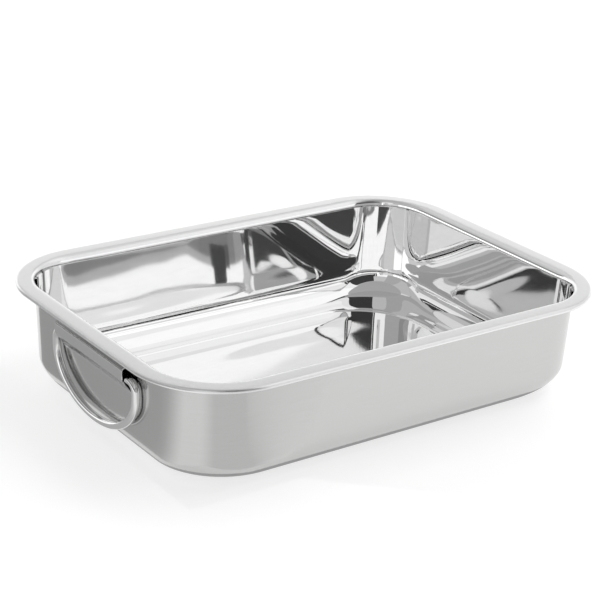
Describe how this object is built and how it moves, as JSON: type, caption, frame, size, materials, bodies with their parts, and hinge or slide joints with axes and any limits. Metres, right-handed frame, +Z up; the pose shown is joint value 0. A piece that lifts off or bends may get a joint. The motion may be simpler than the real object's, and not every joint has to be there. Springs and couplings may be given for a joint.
{
  "type": "roasting pan",
  "caption": "Deep rectangular stainless roasting pan with rounded corners, a flat flared rim and, at either end, a wire drop handle that swings in a sheet sleeve.",
  "frame": {"origin": "middle of the flat face that the pan rests on", "axes": "+X along the pan from one handle to the other, +Y across it, +Z up out of its mouth"},
  "size_m": [0.4, 0.292, 0.087],
  "materials": {
    "pan_steel": "mirror polish inside, satin outside and on the rim",
    "sleeve_steel": "bright rolled sheet",
    "wire_steel": "bright drawn wire"
  },
  "bodies": {
    "pan": {"pan_shell": "pan_steel", "bracket_left": "sleeve_steel", "bracket_right": "sleeve_steel"},
    "left_handle": {"bail_left": "wire_steel"},
    "right_handle": {"bail_right": "wire_steel"}
  },
  "joints": [
    {"name": "left_handle_hinge", "type": "hinge", "parent": "pan", "child": "left_handle", "pos_m": [-0.18654, 0, 0.065], "axis": [0, 1, 0], "range_deg": [-2, 130]},
    {"name": "right_handle_hinge", "type": "hinge", "parent": "pan", "child": "right_handle", "pos_m": [0.18654, 0, 0.065], "axis": [0, -1, 0], "range_deg": [-2, 130]}
  ]
}
